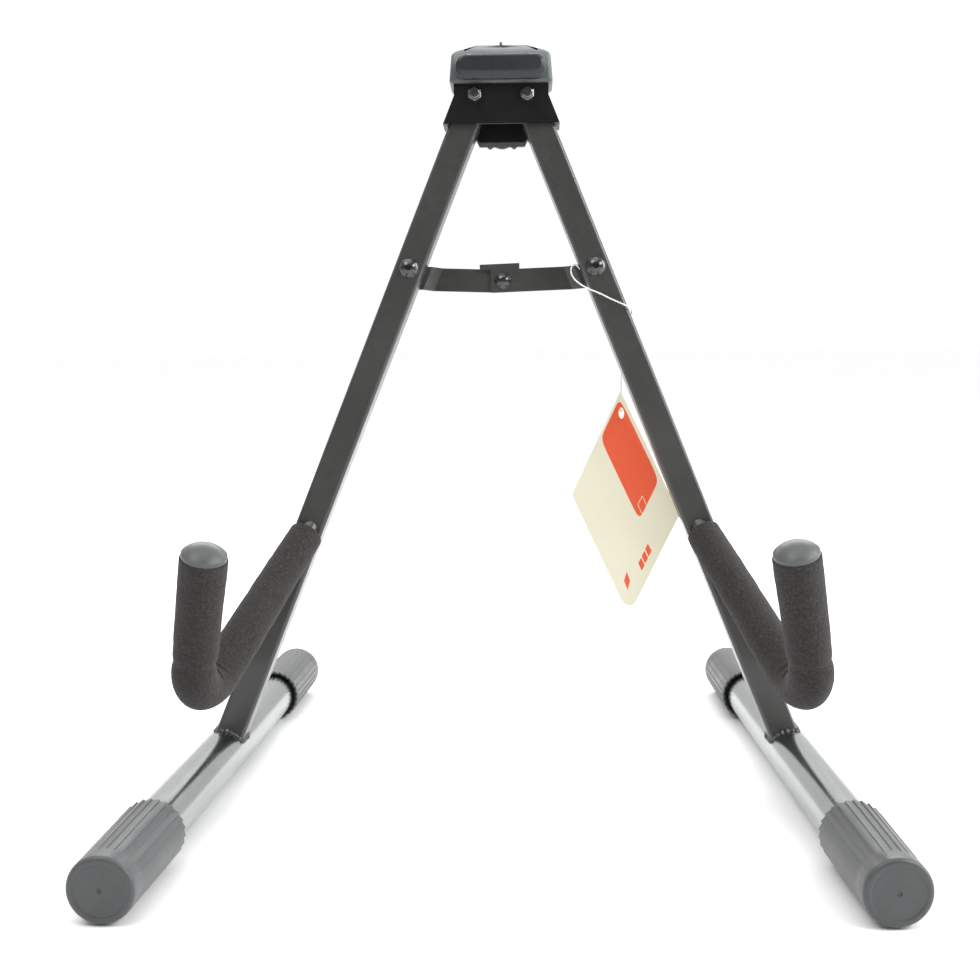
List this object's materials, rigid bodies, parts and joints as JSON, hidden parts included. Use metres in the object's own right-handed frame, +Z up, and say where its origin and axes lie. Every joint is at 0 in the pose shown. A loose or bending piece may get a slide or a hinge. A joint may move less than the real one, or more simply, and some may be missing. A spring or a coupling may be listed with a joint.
{
  "type": "folding guitar stand",
  "caption": "Low A-frame guitar stand with folding tube legs, locking brace, foam cradle arms, padded head and rubber-capped floor tubes.",
  "frame": {"origin": "on the floor, midway between the two base tubes and midway along them", "axes": "+Z up, -Y to the front where the cradle arms reach, +X to the stand's right seen from the front"},
  "size_m": [0.366, 0.3968, 0.4083],
  "materials": {
    "black_paint": "satin black powder coat",
    "black_steel": "black oxide, slight gloss",
    "zinc_steel": "dark zinc",
    "bright_tube": "bright plated tube",
    "cap_rubber": "moulded grey rubber",
    "grey_rubber": "moulded grey rubber, faint sheen",
    "dark_rubber": "smooth dark rubber",
    "grey_plastic": "matte moulded plastic",
    "black_foam": "closed-cell foam, speckled matte",
    "tag_card": "uncoated card with plain orange shapes",
    "tag_string": "white twisted string"
  },
  "bodies": {
    "head": {"head_bracket": "black_paint", "saddle_cover": "grey_rubber", "bumper_pad": "dark_rubber", "pivot_bolts": "zinc_steel", "pivot_nuts": "zinc_steel", "pivot_washers": "zinc_steel"},
    "left_side": {"left_leg": "black_paint", "left_base_tube": "bright_tube", "left_front_cap": "cap_rubber", "left_rear_cap": "cap_rubber", "left_arm_rod": "black_paint", "left_foam_sleeve": "black_foam", "left_arm_cap": "grey_plastic", "left_brace_bolt": "black_steel", "left_brace_nut": "zinc_steel"},
    "right_side": {"right_leg": "black_paint", "right_base_tube": "bright_tube", "right_front_cap": "cap_rubber", "right_rear_cap": "cap_rubber", "right_arm_rod": "black_paint", "right_foam_sleeve": "black_foam", "right_arm_cap": "grey_plastic", "right_brace_bolt": "black_steel", "right_brace_nut": "zinc_steel", "tag_string": "tag_string", "hang_tag": "tag_card"},
    "left_link": {"left_brace_link": "black_paint", "brace_rivet_tail": "black_steel"},
    "right_link": {"right_brace_link": "black_paint", "brace_rivet": "black_steel"}
  },
  "joints": [
    {"name": "left_fold", "type": "hinge", "parent": "head", "child": "left_side", "pos_m": [-0.0145, 0.03774, 0.37861], "axis": [0, -0.9962, 0.0872], "range_deg": [0, 20.5]},
    {"name": "right_fold", "type": "hinge", "parent": "head", "child": "right_side", "pos_m": [0.0145, 0.03774, 0.37861], "axis": [0, 0.9962, -0.0872], "range_deg": [0, 20.5]},
    {"name": "left_brace", "type": "hinge", "parent": "left_side", "child": "left_link", "pos_m": [-0.05183, 0.02952, 0.28469], "axis": [0, -0.9962, 0.0872], "range_deg": [0, 56.9]},
    {"name": "right_brace", "type": "hinge", "parent": "right_side", "child": "right_link", "pos_m": [0.05183, 0.02952, 0.28469], "axis": [0, 0.9962, -0.0872], "range_deg": [0, 56.9]}
  ],
  "couplings": [
    {"joint": "right_fold", "follows": "left_fold", "ratio": 1},
    {"joint": "left_brace", "follows": "left_fold", "ratio": 2.7719},
    {"joint": "right_brace", "follows": "left_fold", "ratio": 2.7719}
  ]
}
